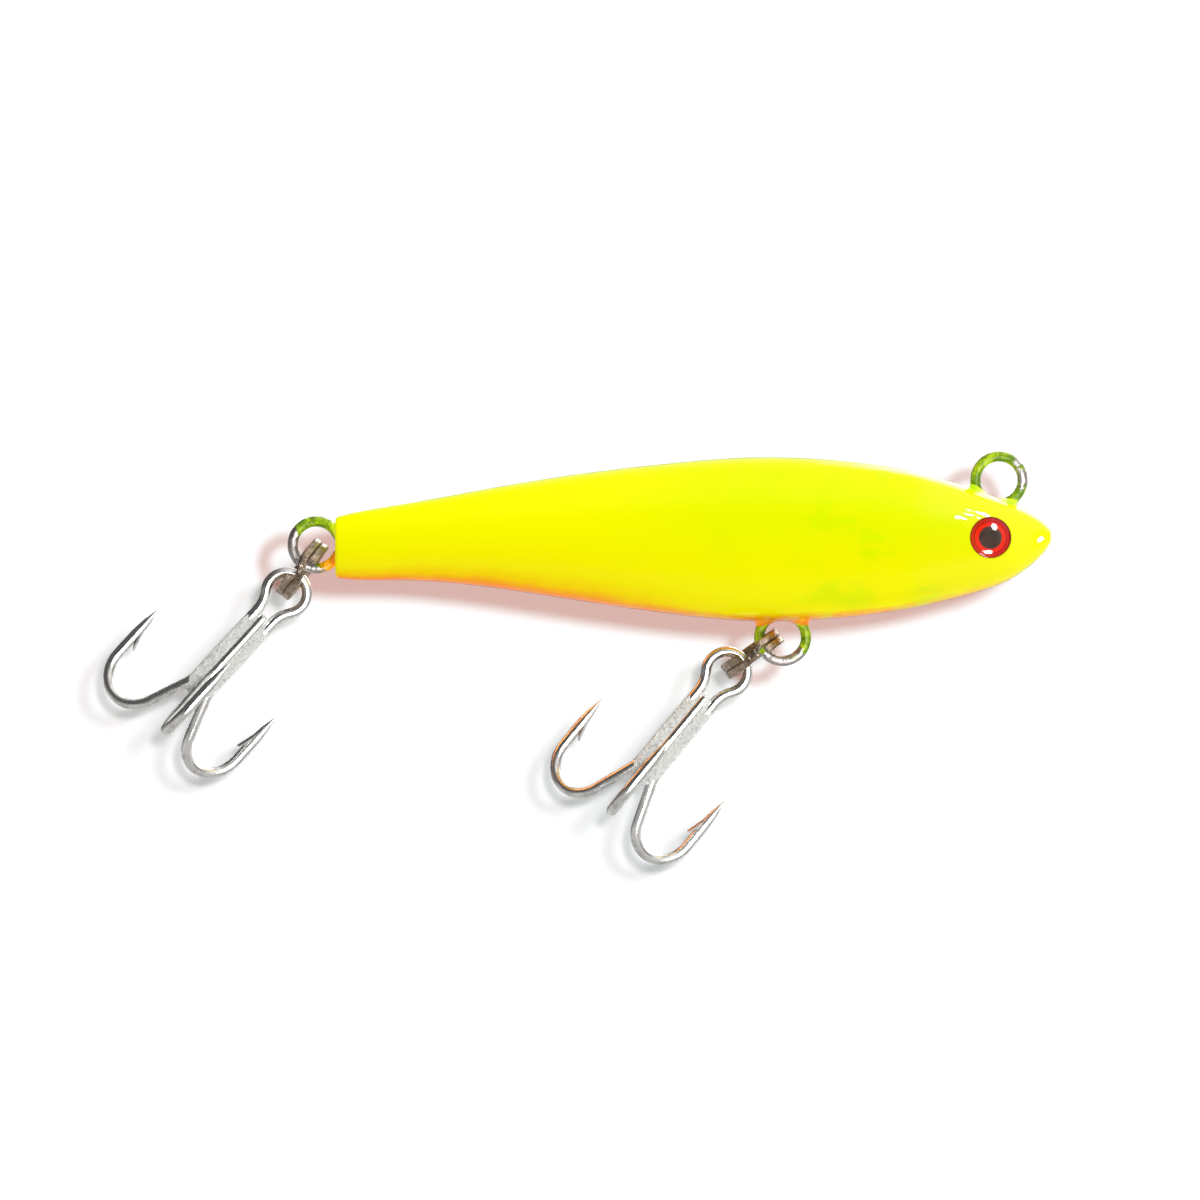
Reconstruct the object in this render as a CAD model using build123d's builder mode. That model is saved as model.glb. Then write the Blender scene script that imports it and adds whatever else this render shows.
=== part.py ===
from build123d import *
from math import atan2, cos, degrees, pi, radians, sin, sqrt
import os

os.makedirs("parts", exist_ok=True)

# Lipless sinking minnow lure, in millimetres.
# Origin at the centre of the line-tie eye, +X towards the nose, +Y to the lure's left, +Z towards its back.

# Body: stations from tail to nose as x, top z, bottom z, half width.
body_stations = [
    (-83.5, -4.7, -12.3, 2.1),
    (-76.0, -3.2, -12.6, 3.2),
    (-66.0, -1.4, -13.25, 4.4),
    (-54.0, 0.6, -15.0, 5.5),
    (-42.0, 2.05, -16.75, 6.25),
    (-31.0, 2.85, -17.75, 6.6),
    (-22.0, 2.6, -17.5, 6.55),
    (-14.5, 1.75, -16.7, 6.35),
    (-8.5, 0.5, -15.6, 5.95),
    (-3.5, -1.1, -14.3, 5.4),
    (0.5, -2.55, -12.95, 4.6),
    (3.2, -3.7, -11.35, 3.5),
    (5.2, -4.95, -9.6, 2.1),
    (6.5, -6.3, -7.8, 0.7),
]
section_fullness = 0.62
tail_edge_radius = 0.5
wall = 1.6
hollow_stations = slice(1, 10)
hollow_end = -9.5

# Hanger wire: an eye outside the body and a smaller loop moulded round a post inside it.
wire_diameter = 1.3
wire_radius = wire_diameter / 2
hanger_eye_radius = 2.95
hanger_loop_radius = 1.75
hanger_neck_radius = 1.5
hanger_neck_half_gap = 0.68
hanger_end_gap = 24.0
groove_radius = wire_radius + 0.02
coined_bore_radius = 2.35

line_tie_centre = Vector(0, 0, 0)
line_tie_lean = 19.0
belly_hanger_centre = Vector(-27.24, 0, -19.81)
tail_hanger_centre = Vector(-85.95, 0, -8.16)

# Split rings: two flat turns and one step between them.
ring_mean_radius = 3.85
ring_strand_height = 1.0
ring_strand_depth = 0.8
ring_strand_rounding = 0.22
ring_strand_gap = 0.05
ring_step_angle = 50.0
ring_step_sections = 6
ring_end_clearance = 2.0
belly_ring_drop = 35.0
belly_ring_chain = 28.2
belly_ring_reach = 4.3
tail_ring_drop = 52.5
tail_ring_chain = 60.0
tail_ring_reach = 3.5

# Treble hooks: a double hook bent from one wire, and a single hook brazed between its legs.
hook_eye_radius = 2.6
hook_leg_offset = 1.28
hook_neck_length = 4.0
hook_single_offset = 0.35
hook_single_start = 4.2
hook_leg_end = 15.1
hook_single_leg_end = 13.2
hook_flare_radius = 4.0
hook_flare_angle = 24.0
hook_flare_length = 5.6
hook_bend_radius = 4.2
hook_point_leg = 3.4
hook_spear_length = 3.9
hook_spear_overlap = 0.1
hook_spear_shoulder = (0.47, 2.0)
hook_tip_radius = 0.05
hook_barb = [(-0.2, 1.7), (-1.38, -1.9), (-0.45, -0.6)]
hook_barb_thickness = 0.5
hook_side_angle = 34.0
belly_hook_drop = 50.4
belly_hook_chain = 35.9
belly_hook_reach = 4.0
belly_hook_twist = 1.9
tail_hook_drop = 47.4
tail_hook_chain = 56.5
tail_hook_reach = 3.62
tail_hook_twist = -6.0

# Eyes, one on each side, in round sockets across the head.
eye_x = -1.32
eye_z = -7.28
eye_socket_radius = 2.65
eye_socket_floor = 3.55
eye_socket_cut = 5.0
eye_lens_radius = 2.58
eye_lens_edge = 0.55
eye_lens_rise = 0.95
eye_foil_radius = 2.5
eye_foil_thickness = 0.15
eye_pupil_radius = 1.25
eye_stack_gap = 0.02

# Ballast slugs and the rattle tube, all along X in the mid-plane.
front_ballast_radius = 2.3
front_ballast_span = (-19.9, -10.2)
front_ballast_z = -12.3
rear_ballast_radius = 1.6
rear_ballast_span = (-70.9, -62.6)
rear_ballast_z = -8.6
ballast_clearance = 0.05
ballast_chamfer = 0.4
rattle_ball_radius = 2.1
rattle_bore_radius = 2.3
rattle_tube_radius = 3.3
rattle_z = -7.2
rattle_bore_span = (-56.5, -36.5)
rattle_ball_spacing = 6.6

# Walls across the hollow, as first x and last x, and the block that holds the belly hanger.
# Each is a box larger than the hollow in the directions that the body's wall limits.
bulkheads = [(-77.0, -70.1), (-63.4, -56.5), (-36.5, -33.5), (-22.5, -19.1)]
bulkhead_width = 20.0
bulkhead_height = 30.0
bulkhead_centre_z = -7.0
belly_block = (-32.0, -22.0)
belly_block_top = -9.0
belly_block_height = 12.0

# Assembly pins on the left half and their sockets in the right half, as x, z.
pin_places = [(3.1, -7.6), (-7.0, -12.6), (-20.8, -0.4), (-35.0, -13.2), (-60.0, -3.0), (-60.0, -11.6)]
pin_radius = 0.8
pin_length = 1.6
pin_chamfer = 0.2
pin_clearance = 0.05
pin_end_clearance = 0.2


def body_section(x, top, bottom, half_width):
    """Full oval face across the body at x, drawn as four quarter curves."""
    centre = (top + bottom) / 2
    half_height = (top - bottom) / 2
    with BuildSketch(Plane.YZ.offset(x)) as section:
        with BuildLine():
            for across, up in ((1, 1), (1, -1), (-1, -1), (-1, 1)):
                flank = (across * half_width, centre)
                flank_handle = (across * half_width, centre + up * half_height * section_fullness)
                ridge_handle = (across * half_width * section_fullness, centre + up * half_height)
                ridge = (0, centre + up * half_height)
                Bezier(flank, flank_handle, ridge_handle, ridge)
        make_face()
    return section.sketch


def hanger_plane(centre, outward):
    """Mid-plane of the body with its y axis pointing out of the body through the eye."""
    return Plane(origin=centre, x_dir=(outward.Z, 0, -outward.X), z_dir=(0, -1, 0))


def hanger_path(plane):
    """Centreline of a hanger wire: eye, narrow neck and inner loop as tangent arcs."""
    neck_x = hanger_neck_half_gap + hanger_neck_radius
    neck_y = -sqrt((hanger_eye_radius + hanger_neck_radius) ** 2 - neck_x**2)
    loop_y = neck_y - sqrt((hanger_loop_radius + hanger_neck_radius) ** 2 - neck_x**2)
    eye_angle = degrees(atan2(-neck_y, neck_x))
    loop_angle = degrees(atan2(neck_y - loop_y, neck_x))
    loop_sweep = loop_angle + 90 - hanger_end_gap / 2
    with BuildLine(plane) as path:
        CenterArc((0, loop_y), hanger_loop_radius, loop_angle - loop_sweep, loop_sweep)
        CenterArc((neck_x, neck_y), hanger_neck_radius, 180 - eye_angle, eye_angle + loop_angle)
        CenterArc((0, 0), hanger_eye_radius, -eye_angle, 180 + 2 * eye_angle)
        CenterArc((-neck_x, neck_y), hanger_neck_radius, -loop_angle, eye_angle + loop_angle)
        CenterArc((0, loop_y), hanger_loop_radius, 180 - loop_angle, loop_sweep)
    return path.wires()[0]


def wire_along(path, radius):
    """Round wire swept along a path."""
    with BuildPart() as wire:
        with BuildSketch(Plane(origin=path @ 0, z_dir=path % 0)):
            Circle(radius)
        sweep(path=path)
    return wire.part


def downward(angle):
    """Unit vector in the mid-plane, pointing towards the tail and this many degrees below level."""
    return Vector(-cos(radians(angle)), 0, -sin(radians(angle)))


line_tie_outward = Vector(sin(radians(line_tie_lean)), 0, cos(radians(line_tie_lean)))
line_tie_plane = hanger_plane(line_tie_centre, line_tie_outward)
belly_hanger_plane = hanger_plane(belly_hanger_centre, Vector(0, 0, -1))
tail_hanger_plane = hanger_plane(tail_hanger_centre, Vector(-1, 0, 0))
line_tie_path = hanger_path(line_tie_plane)
belly_hanger_path = hanger_path(belly_hanger_plane)
tail_hanger_path = hanger_path(tail_hanger_plane)

# --- Body halves ---

with BuildPart() as hull:
    for x, top, bottom, half_width in body_stations:
        add(body_section(x, top, bottom, half_width))
    loft()
    fillet(hull.faces().sort_by(Axis.X)[0].edges(), tail_edge_radius)

with BuildPart() as hollow:
    for x, top, bottom, half_width in body_stations[hollow_stations]:
        add(body_section(x, top - wall, bottom + wall, half_width - wall))
    loft()
    split(bisect_by=Plane.YZ.offset(hollow_end), keep=Keep.BOTTOM)
    for first, last in bulkheads:
        with Locations(((first + last) / 2, 0, bulkhead_centre_z)):
            Box(last - first, bulkhead_width, bulkhead_height, mode=Mode.SUBTRACT)
    with Locations((sum(belly_block) / 2, 0, belly_block_top - belly_block_height / 2)):
        Box(belly_block[1] - belly_block[0], bulkhead_width, belly_block_height, mode=Mode.SUBTRACT)
    with BuildSketch(Plane.YZ.offset(rattle_bore_span[0])):
        with Locations((0, rattle_z)):
            Circle(rattle_tube_radius)
    extrude(amount=rattle_bore_span[1] - rattle_bore_span[0], mode=Mode.SUBTRACT)
    with BuildSketch(Plane.YZ.offset(rattle_bore_span[0])):
        with Locations((0, rattle_z)):
            Circle(rattle_bore_radius)
    extrude(amount=rattle_bore_span[1] - rattle_bore_span[0])
    for span, height, radius in (
        (front_ballast_span, front_ballast_z, front_ballast_radius),
        (rear_ballast_span, rear_ballast_z, rear_ballast_radius),
    ):
        with BuildSketch(Plane.YZ.offset(span[0] - ballast_clearance)):
            with Locations((0, height)):
                Circle(radius + ballast_clearance)
        extrude(amount=span[1] - span[0] + 2 * ballast_clearance)

with BuildPart() as body:
    add(hull.part)
    add(hollow.part, mode=Mode.SUBTRACT)
    for path in (line_tie_path, belly_hanger_path, tail_hanger_path):
        add(wire_along(path, groove_radius), mode=Mode.SUBTRACT)
    for side in (-1, 1):
        socket_plane = Plane(origin=(eye_x, side * eye_socket_floor, eye_z), z_dir=(0, side, 0))
        with BuildSketch(socket_plane):
            Circle(eye_socket_radius)
        extrude(amount=eye_socket_cut, mode=Mode.SUBTRACT)

with BuildPart() as body_left:
    add(body.part)
    split(bisect_by=Plane.XZ, keep=Keep.BOTTOM)
    with BuildSketch(Plane.XZ):
        with Locations(*pin_places):
            Circle(pin_radius)
    extrude(amount=pin_length)
    chamfer(body_left.faces().sort_by(Axis.Y)[: len(pin_places)].edges(), pin_chamfer)

with BuildPart() as body_right:
    add(body.part)
    split(bisect_by=Plane.XZ, keep=Keep.TOP)
    with BuildSketch(Plane.XZ):
        with Locations(*pin_places):
            Circle(pin_radius + pin_clearance)
    extrude(amount=pin_length + pin_end_clearance, mode=Mode.SUBTRACT)

# --- Hanger wires ---

with BuildPart() as line_tie:
    add(wire_along(line_tie_path, wire_radius))
    with BuildSketch(line_tie_plane):
        Circle(coined_bore_radius)
    extrude(amount=wire_diameter, both=True, mode=Mode.SUBTRACT)

with BuildPart() as belly_hanger:
    add(wire_along(belly_hanger_path, wire_radius))

with BuildPart() as tail_hanger:
    add(wire_along(tail_hanger_path, wire_radius))

# --- Ballast slugs ---


def ballast_slug(span, height, radius):
    """Round bar along X with broken ends."""
    with BuildPart() as slug:
        with BuildSketch(Plane.YZ.offset(span[0])):
            with Locations((0, height)):
                Circle(radius)
        extrude(amount=span[1] - span[0])
        chamfer(slug.faces().filter_by(GeomType.PLANE).edges(), ballast_chamfer)
    return slug.part


with BuildPart() as front_ballast:
    add(ballast_slug(front_ballast_span, front_ballast_z, front_ballast_radius))

with BuildPart() as rear_ballast:
    add(ballast_slug(rear_ballast_span, rear_ballast_z, rear_ballast_radius))

# --- Rattle balls ---


def rattle_ball(place):
    """Steel ball, placed in ball spacings from the middle of the rattle tube."""
    x = sum(rattle_bore_span) / 2 + place * rattle_ball_spacing
    with BuildPart() as ball:
        with BuildSketch(Plane(origin=(x, 0, rattle_z), x_dir=(1, 0, 0), z_dir=(0, -1, 0))):
            with BuildLine():
                CenterArc((0, 0), rattle_ball_radius, -90, 180)
                Line((0, rattle_ball_radius), (0, -rattle_ball_radius))
            make_face()
        revolve(axis=Axis((x, 0, rattle_z), (0, 0, 1)))
    return ball.part


with BuildPart() as rattle_ball_front:
    add(rattle_ball(1))

with BuildPart() as rattle_ball_middle:
    add(rattle_ball(0))

with BuildPart() as rattle_ball_rear:
    add(rattle_ball(-1))

# --- Eyes ---

eye_foil_height = eye_socket_floor + eye_stack_gap
eye_lens_height = eye_foil_height + eye_foil_thickness + eye_stack_gap


def eye_plane(side, height):
    """Plane across the eye socket of side +1 or -1, this far from the lure's mid-plane."""
    return Plane(origin=(eye_x, side * height, eye_z), z_dir=(0, side, 0))


def eye_foil(side):
    """Flat iris ring at the bottom of the socket."""
    with BuildPart() as foil:
        with BuildSketch(eye_plane(side, eye_foil_height)):
            Circle(eye_foil_radius)
            Circle(eye_pupil_radius + eye_stack_gap, mode=Mode.SUBTRACT)
        extrude(amount=eye_foil_thickness)
    return foil.part


def eye_pupil(side):
    """Flat pupil disc inside the iris ring."""
    with BuildPart() as pupil:
        with BuildSketch(eye_plane(side, eye_foil_height)):
            Circle(eye_pupil_radius)
        extrude(amount=eye_foil_thickness)
    return pupil.part


def eye_lens(side):
    """Clear lens: a short straight edge under a shallow spherical dome."""
    profile = Plane(origin=(eye_x, side * eye_lens_height, eye_z), x_dir=(1, 0, 0), z_dir=(0, 0, side))
    dome_radius = (eye_lens_radius**2 + eye_lens_rise**2) / (2 * eye_lens_rise)
    with BuildPart() as lens:
        with BuildSketch(profile):
            with BuildLine():
                edge = Line((eye_lens_radius, 0), (eye_lens_radius, eye_lens_edge))
                dome = RadiusArc(edge @ 1, (0, eye_lens_edge + eye_lens_rise), -dome_radius)
                Polyline(dome @ 1, (0, 0), edge @ 0)
            make_face()
        revolve(axis=Axis((eye_x, 0, eye_z), (0, 1, 0)))
    return lens.part


with BuildPart() as eye_foil_left:
    add(eye_foil(1))

with BuildPart() as eye_foil_right:
    add(eye_foil(-1))

with BuildPart() as eye_pupil_left:
    add(eye_pupil(1))

with BuildPart() as eye_pupil_right:
    add(eye_pupil(-1))

with BuildPart() as eye_lens_left:
    add(eye_lens(1))

with BuildPart() as eye_lens_right:
    add(eye_lens(-1))

# --- Split rings, drawn flat round the Z axis and then placed on their planes ---


def ring_section(angle, height):
    """Rounded flat-wire section of the ring at this angle and height, as a sketch."""
    radial = (cos(radians(angle)), sin(radians(angle)), 0)
    plane = Plane(origin=(0, 0, 0), x_dir=radial, z_dir=(radial[1], -radial[0], 0))
    with BuildSketch(plane) as section:
        with Locations((ring_mean_radius, height)):
            RectangleRounded(ring_strand_depth, ring_strand_height, ring_strand_rounding)
    return section.sketch


with BuildPart() as split_ring:
    ring_level = (ring_strand_height + ring_strand_gap) / 2
    step_start = 90 - ring_step_angle / 2
    step_end = 90 + ring_step_angle / 2
    turn = 360 - ring_step_angle
    add(ring_section(step_end, -ring_level))
    revolve(axis=Axis.Z, revolution_arc=turn)
    for step in range(ring_step_sections):
        share = step / (ring_step_sections - 1)
        ease = (1 - cos(pi * share)) / 2
        add(ring_section(step_start + share * ring_step_angle, ring_level * (2 * ease - 1)))
    loft()
    add(ring_section(step_end, ring_level))
    revolve(axis=Axis.Z, revolution_arc=turn - ring_end_clearance)


def ring_plane(centre, drop):
    """Ring's plane: x away from the body and this many degrees below level, z along the ring's own axis."""
    return Plane(origin=centre, x_dir=downward(drop), z_dir=(-sin(radians(drop)), 0, cos(radians(drop))))


belly_ring_centre = belly_hanger_centre + downward(belly_ring_chain) * belly_ring_reach
tail_ring_centre = tail_hanger_centre + downward(tail_ring_chain) * tail_ring_reach

with BuildPart() as belly_split_ring:
    with Locations(ring_plane(belly_ring_centre, belly_ring_drop)):
        add(split_ring.part)

with BuildPart() as tail_split_ring:
    with Locations(ring_plane(tail_ring_centre, tail_ring_drop)):
        add(split_ring.part)

# --- Treble hooks, drawn with the eye at the origin and the shank along +Z, then placed ---


def hook_plane(direction, leg):
    """Plane of one hook: x outwards along its direction from its leg, y along the shank."""
    return Plane(origin=leg, x_dir=direction, z_dir=(direction.Y, -direction.X, 0))


def hook_bend(direction, leg, leg_start, leg_end):
    """Centreline of one hook's leg, flare, round bend and point leg."""
    flare = radians(hook_flare_angle)
    with BuildLine(hook_plane(direction, leg)) as line:
        Line((0, leg_start), (0, leg_end))
        CenterArc((hook_flare_radius, leg_end), hook_flare_radius, 180, -hook_flare_angle)
        start = (hook_flare_radius * (1 - cos(flare)), leg_end + hook_flare_radius * sin(flare))
        end = (start[0] + hook_flare_length * sin(flare), start[1] + hook_flare_length * cos(flare))
        Line(start, end)
        centre = (end[0] + hook_bend_radius * cos(flare), end[1] - hook_bend_radius * sin(flare))
        CenterArc(centre, hook_bend_radius, 180 - hook_flare_angle, hook_flare_angle - 180)
        point = (centre[0] + hook_bend_radius, centre[1])
        Line(point, (point[0], point[1] - hook_point_leg))
    return line.edges()


def hook_spear(direction, leg, leg_end):
    """Tapered point with a barb on its inner side."""
    flare = radians(hook_flare_angle)
    out = (
        hook_flare_radius * (1 - cos(flare))
        + hook_flare_length * sin(flare)
        + hook_bend_radius * (1 + cos(flare))
    )
    along = (
        leg_end
        + hook_flare_radius * sin(flare)
        + hook_flare_length * cos(flare)
        - hook_bend_radius * sin(flare)
        - hook_point_leg
    )
    base = leg + direction * out + Vector(0, 0, along)
    spear_plane = Plane(origin=base, x_dir=direction, z_dir=(-direction.Y, direction.X, 0))
    with BuildPart() as spear:
        with BuildSketch(spear_plane):
            with BuildLine():
                Polyline(
                    (0, -hook_spear_overlap),
                    (wire_radius, -hook_spear_overlap),
                    (wire_radius, 0),
                    hook_spear_shoulder,
                    (hook_tip_radius, hook_spear_length),
                    (0, hook_spear_length),
                    close=True,
                )
            make_face()
        revolve(axis=Axis(base, (0, 0, 1)))
        with BuildSketch(spear_plane):
            Polygon(*hook_barb, align=None)
        extrude(amount=hook_barb_thickness / 2, both=True)
    return spear.part


hook_neck_radius = (hook_leg_offset**2 + hook_neck_length**2 - hook_eye_radius**2) / (
    2 * (hook_eye_radius - hook_leg_offset)
)

with BuildPart() as double_hook:
    right = Vector(cos(radians(hook_side_angle)), sin(radians(hook_side_angle)), 0)
    left = Vector(-right.X, right.Y, 0)
    right_leg = Vector(hook_leg_offset, 0, 0)
    left_leg = Vector(-hook_leg_offset, 0, 0)
    neck_x = hook_leg_offset + hook_neck_radius
    neck_angle = degrees(atan2(hook_neck_length, neck_x))
    with BuildLine(Plane(origin=(0, 0, 0), x_dir=(1, 0, 0), z_dir=(0, -1, 0))) as eye_line:
        CenterArc((0, 0), hook_eye_radius, neck_angle, -180 - 2 * neck_angle)
        CenterArc((neck_x, hook_neck_length), hook_neck_radius, 180, neck_angle)
        CenterArc((-neck_x, hook_neck_length), hook_neck_radius, 0, -neck_angle)
    right_bend = hook_bend(right, right_leg, hook_neck_length, hook_leg_end)
    left_bend = hook_bend(left, left_leg, hook_neck_length, hook_leg_end)
    add(wire_along(Wire(right_bend + eye_line.edges() + left_bend), wire_radius))
    add(hook_spear(right, right_leg, hook_leg_end))
    add(hook_spear(left, left_leg, hook_leg_end))

with BuildPart() as single_hook:
    forward = Vector(0, -1, 0)
    single_leg = Vector(0, -hook_single_offset, 0)
    single_bend = hook_bend(forward, single_leg, hook_single_start, hook_single_leg_end)
    add(wire_along(Wire(single_bend), wire_radius))
    add(hook_spear(forward, single_leg, hook_single_leg_end))


def treble_plane(centre, drop, twist):
    """Treble's plane: z along the shank, -y to the lure's right, turned about the shank by twist."""
    flat = Vector(-sin(radians(drop)), 0, cos(radians(drop)))
    across = flat * cos(radians(twist)) + Vector(0, 1, 0) * sin(radians(twist))
    return Plane(origin=centre, x_dir=across, z_dir=downward(drop))


belly_eye_centre = belly_ring_centre + downward(belly_hook_chain) * belly_hook_reach
tail_eye_centre = tail_ring_centre + downward(tail_hook_chain) * tail_hook_reach
belly_treble_plane = treble_plane(belly_eye_centre, belly_hook_drop, belly_hook_twist)
tail_treble_plane = treble_plane(tail_eye_centre, tail_hook_drop, tail_hook_twist)

with BuildPart() as belly_hook_double:
    with Locations(belly_treble_plane):
        add(double_hook.part)

with BuildPart() as belly_hook_single:
    with Locations(belly_treble_plane):
        add(single_hook.part)

with BuildPart() as tail_hook_double:
    with Locations(tail_treble_plane):
        add(double_hook.part)

with BuildPart() as tail_hook_single:
    with Locations(tail_treble_plane):
        add(single_hook.part)

# --- Export ---

pieces = {
    "body_left": body_left,
    "body_right": body_right,
    "line_tie": line_tie,
    "belly_hanger": belly_hanger,
    "tail_hanger": tail_hanger,
    "front_ballast": front_ballast,
    "rear_ballast": rear_ballast,
    "rattle_ball_front": rattle_ball_front,
    "rattle_ball_middle": rattle_ball_middle,
    "rattle_ball_rear": rattle_ball_rear,
    "eye_foil_left": eye_foil_left,
    "eye_foil_right": eye_foil_right,
    "eye_pupil_left": eye_pupil_left,
    "eye_pupil_right": eye_pupil_right,
    "eye_lens_left": eye_lens_left,
    "eye_lens_right": eye_lens_right,
    "belly_split_ring": belly_split_ring,
    "tail_split_ring": tail_split_ring,
    "belly_hook_double": belly_hook_double,
    "belly_hook_single": belly_hook_single,
    "tail_hook_double": tail_hook_double,
    "tail_hook_single": tail_hook_single,
}
for name, piece in pieces.items():
    piece.part.label = name
    export_step(piece.part, f"parts/{name}.step")
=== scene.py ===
import bmesh
import bpy
from math import cos, pi, radians, sin, sqrt, tan
from mathutils import Matrix, Vector
from mathutils.bvhtree import BVHTree


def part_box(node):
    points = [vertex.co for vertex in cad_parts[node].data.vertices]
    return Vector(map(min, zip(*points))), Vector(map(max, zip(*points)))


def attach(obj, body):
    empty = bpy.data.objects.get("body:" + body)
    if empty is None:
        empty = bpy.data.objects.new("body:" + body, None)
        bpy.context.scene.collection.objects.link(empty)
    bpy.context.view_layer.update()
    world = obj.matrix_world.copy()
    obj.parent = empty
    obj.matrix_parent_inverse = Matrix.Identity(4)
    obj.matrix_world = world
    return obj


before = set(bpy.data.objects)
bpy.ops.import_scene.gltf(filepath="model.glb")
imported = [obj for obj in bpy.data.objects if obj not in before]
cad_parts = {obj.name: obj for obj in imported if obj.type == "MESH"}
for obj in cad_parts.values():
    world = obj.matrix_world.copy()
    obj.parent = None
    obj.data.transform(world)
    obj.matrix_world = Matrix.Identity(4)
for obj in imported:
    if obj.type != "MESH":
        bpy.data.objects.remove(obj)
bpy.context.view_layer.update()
scene = bpy.context.scene
MM = 0.001

# The part's own frame, in metres: origin at the line-tie eye, +X to the nose, +Z to the back. The photo is
# taken from the -Y side.
WIRE_RADIUS = 0.65 * MM
EYE_LOOP_RADIUS = 2.95 * MM
EYE_OUTER_RADIUS = EYE_LOOP_RADIUS + WIRE_RADIUS
HOOK_WIRE_RADIUS = 0.65 * MM
HOOK_EYE_RADIUS = 2.6 * MM
IRIS_PRINT_RADIUS = 2.6 * MM
EYE_DOME_RADIUS = 3.98 * MM
FRAME_CENTRE = Vector((-50.22, 0, -15.10)) * MM
FRAME_WIDTH = 151.04 * MM


# --- Node helpers ---


def new_material(name):
    """Empty node material and its tree."""
    material = bpy.data.materials.new(name)
    material.use_nodes = True
    material.node_tree.nodes.clear()
    return material, material.node_tree


def node(tree, kind, inputs=None, **settings):
    """One node. An input is a value or another node's output socket."""
    made = tree.nodes.new(kind)
    for key, value in settings.items():
        setattr(made, key, value)
    for key, value in (inputs or {}).items():
        if isinstance(value, bpy.types.NodeSocket):
            tree.links.new(value, made.inputs[key])
        else:
            made.inputs[key].default_value = value
    return made


def calc(tree, operation, a, b=0.0, c=0.0, clamp=False):
    """Math node's result."""
    made = node(tree, "ShaderNodeMath", {0: a, 1: b, 2: c}, operation=operation, use_clamp=clamp)
    return made.outputs[0]


def smooth(tree, value, low, high):
    """0 below low, 1 above high, smooth between them. low may be above high."""
    made = node(
        tree,
        "ShaderNodeMapRange",
        {"Value": value, "From Min": low, "From Max": high},
        interpolation_type="SMOOTHSTEP",
    )
    return made.outputs[0]


def mixed(tree, factor, a, b):
    """Colour between a and b."""
    made = node(tree, "ShaderNodeMix", {0: factor, 6: a, 7: b}, data_type="RGBA")
    return made.outputs[2]


def ramp(tree, factor, stops):
    """Colour ramp's result for (position, colour) stops."""
    made = node(tree, "ShaderNodeValToRGB", {0: factor})
    elements = made.color_ramp.elements
    while len(elements) < len(stops):
        elements.new(0.5)
    for element, (position, colour) in zip(elements, stops):
        element.position = position
        element.color = (*colour, 1)
    return made.outputs[0]


def noise(tree, vector, scale, detail=2.0, roughness=0.5, stretch=(1, 1, 1)):
    """Noise value at this many features per millimetre."""
    scaled = node(tree, "ShaderNodeVectorMath", {0: vector, 1: stretch}, operation="MULTIPLY")
    made = node(
        tree,
        "ShaderNodeTexNoise",
        {"Vector": scaled.outputs[0], "Scale": scale, "Detail": detail, "Roughness": roughness},
    )
    return made.outputs[0]


def rest_place(tree):
    """Place on the piece at rest, in millimetres."""
    place = node(tree, "ShaderNodeTexCoord").outputs["Object"]
    return node(tree, "ShaderNodeVectorMath", {0: place, 3: 1 / MM}, operation="SCALE").outputs[0]


def xyz(tree, vector):
    """The vector's three components."""
    return node(tree, "ShaderNodeSeparateXYZ", {0: vector}).outputs


def dot(tree, a, b):
    """Dot product of two vectors."""
    return node(tree, "ShaderNodeVectorMath", {0: a, 1: b}, operation="DOT_PRODUCT").outputs["Value"]


def times(tree, *factors):
    """Product of two or more values."""
    result = factors[0]
    for factor in factors[1:]:
        result = calc(tree, "MULTIPLY", result, factor)
    return result


def dimmed(tree, value, where, share):
    """Value less this share of itself where the mask is 1."""
    return calc(tree, "MULTIPLY", value, calc(tree, "MULTIPLY_ADD", where, -share, 1.0))


def bump(tree, height, strength, distance):
    """Normal from a height value."""
    made = node(tree, "ShaderNodeBump", {"Height": height, "Strength": strength, "Distance": distance})
    return made.outputs[0]


def surface(tree, shader):
    """Ends the tree in this shader."""
    node(tree, "ShaderNodeOutputMaterial", {"Surface": shader})


def principled(tree, inputs):
    """Principled shader's result."""
    return node(tree, "ShaderNodeBsdfPrincipled", inputs).outputs[0]


def principled_surface(tree, inputs):
    """Ends the tree in a principled shader."""
    surface(tree, principled(tree, inputs))


# --- Materials ---


def sprayed_bands(tree, place, x):
    """Lacquer colour by how far the surface faces up: orange belly, chartreuse flank, greener back."""
    facing_up = xyz(tree, node(tree, "ShaderNodeNewGeometry").outputs["Normal"])[2]
    drift = noise(tree, place, 0.22, 2.0, 0.5)
    tilt = calc(tree, "ADD", facing_up, times(tree, calc(tree, "SUBTRACT", drift, 0.5), 0.22))
    level = calc(tree, "MULTIPLY_ADD", tilt, 0.5, 0.5, clamp=True)
    tail_coat = ramp(
        tree,
        level,
        [
            (0.0, (1.0, 0.22, 0.02)),
            (0.06, (1.0, 0.36, 0.01)),
            (0.16, (1.0, 0.66, 0.0)),
            (0.30, (0.98, 0.86, 0.0)),
            (0.50, (0.94, 0.92, 0.0)),
            (0.75, (0.90, 0.91, 0.0)),
            (1.0, (0.78, 0.86, 0.0)),
        ],
    )
    head_coat = ramp(
        tree,
        level,
        [
            (0.0, (1.0, 0.26, 0.01)),
            (0.04, (1.0, 0.50, 0.0)),
            (0.10, (1.0, 0.90, 0.0)),
            (0.24, (1.0, 0.96, 0.0)),
            (0.40, (0.94, 0.92, 0.0)),
            (0.55, (0.82, 0.90, 0.0)),
            (1.0, (0.74, 0.84, 0.0)),
        ],
    )
    return mixed(tree, smooth(tree, x, -58.0, -30.0), tail_coat, head_coat)


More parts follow.
